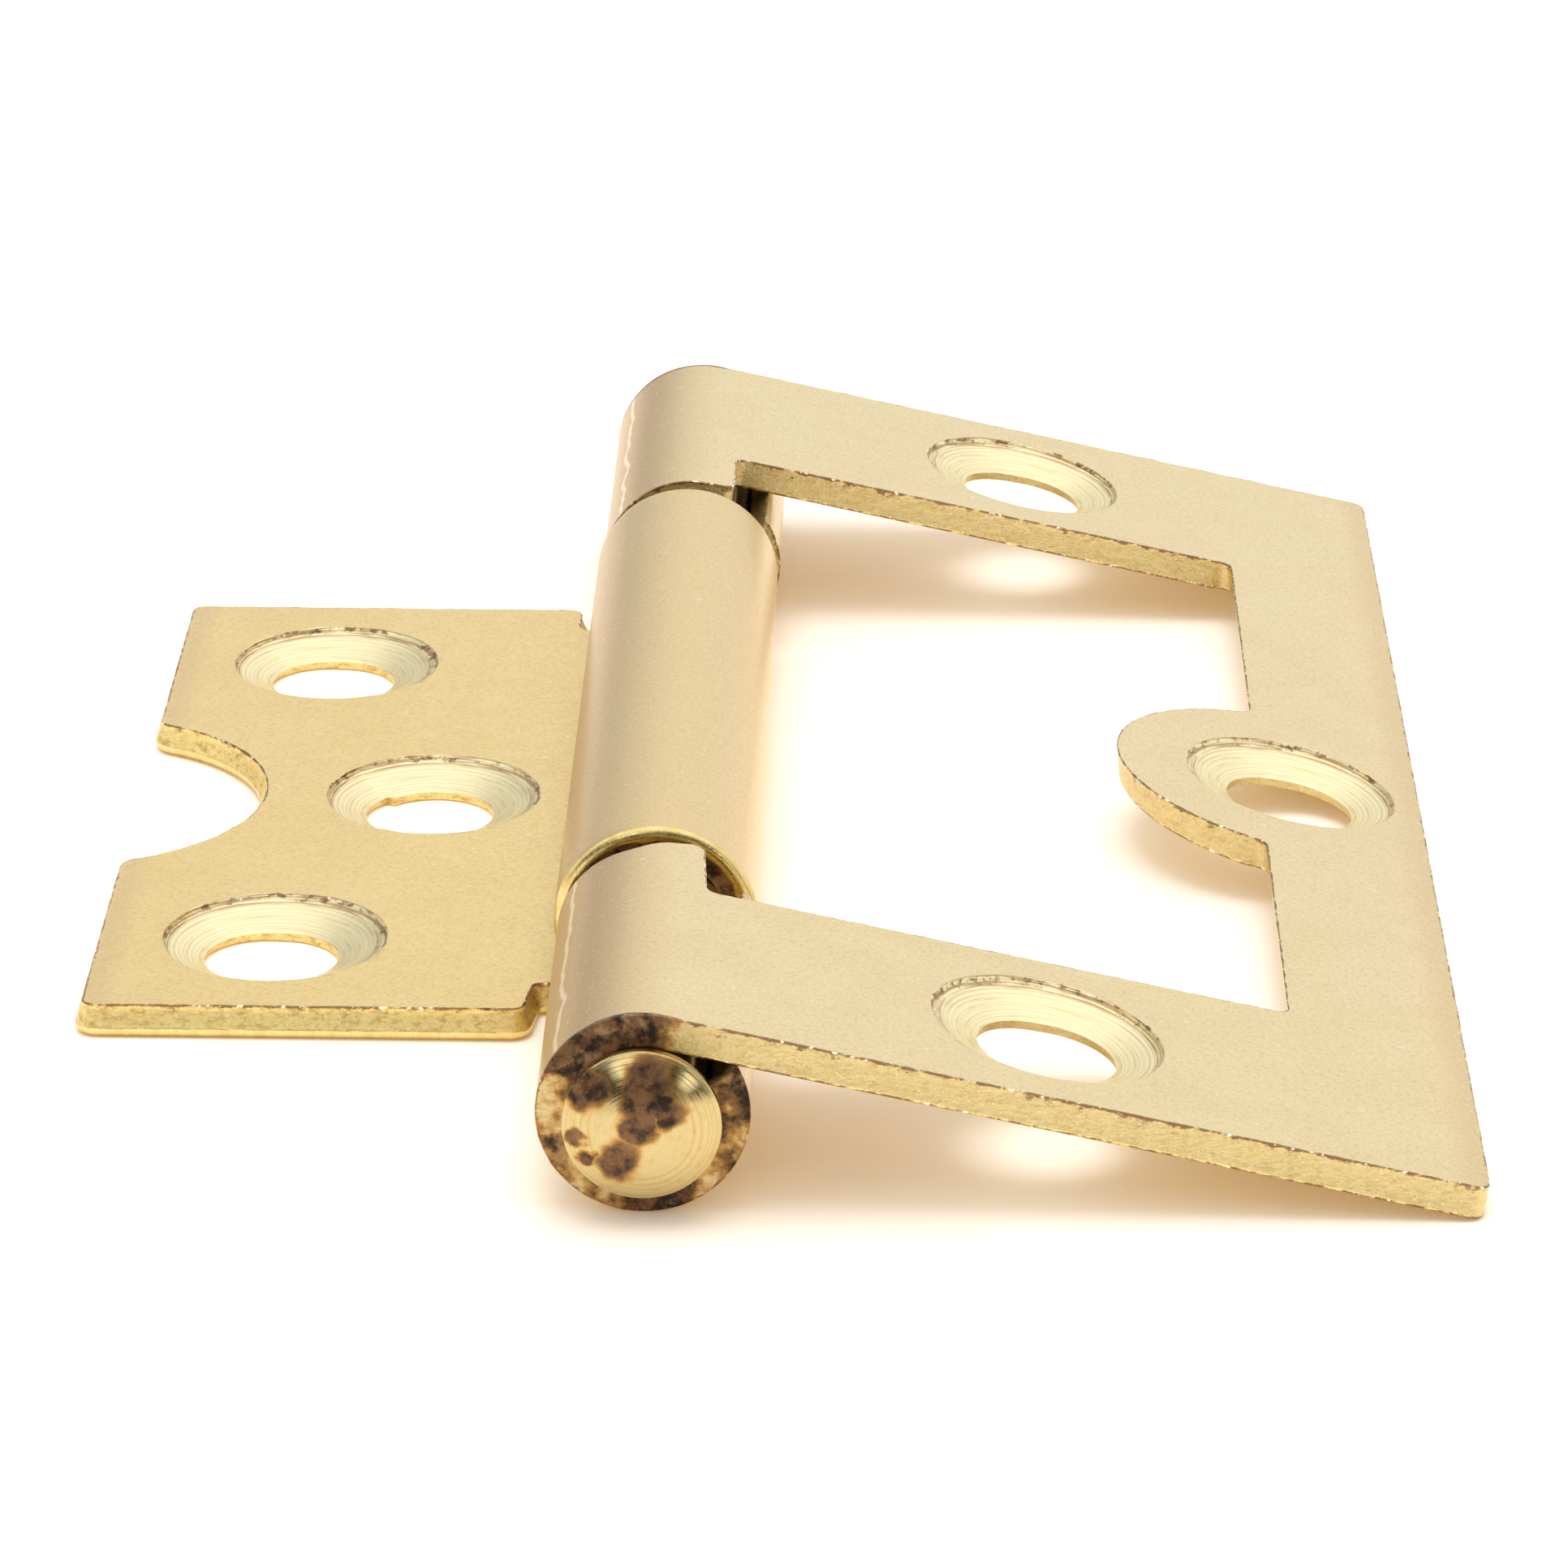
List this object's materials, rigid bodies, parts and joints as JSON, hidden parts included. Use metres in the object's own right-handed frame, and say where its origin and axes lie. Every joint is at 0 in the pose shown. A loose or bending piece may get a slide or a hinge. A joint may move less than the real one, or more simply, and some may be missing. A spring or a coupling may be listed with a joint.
{
  "type": "door hinge",
  "caption": "Flush door hinge: a slim inner leaf with a rolled middle knuckle folds into the window of an outer frame leaf with a rounded tab, on one riveted pin.",
  "frame": {"origin": "on the plane of the inner leaf's back, straight under the pin axis, at the middle of the hinge's length", "axes": "+Y along the pin, +Z out of the inner leaf's countersunk side, -X from the pin towards the inner leaf's free edge; the outer leaf points to +X and slopes down to z = 0"},
  "size_m": [0.0536, 0.0798, 0.0079],
  "materials": {
    "brassed_sheet": "satin",
    "pin_metal": "turned, tarnished"
  },
  "bodies": {
    "inner_leaf": {"inner_leaf": "brassed_sheet"},
    "outer_leaf": {"outer_leaf": "brassed_sheet", "hinge_pin": "pin_metal"}
  },
  "joints": [
    {"name": "pin_hinge", "type": "hinge", "parent": "inner_leaf", "child": "outer_leaf", "pos_m": [0, 0, 0.00395], "axis": [0, -1, 0], "range_deg": [-77.82, 192.18]}
  ]
}
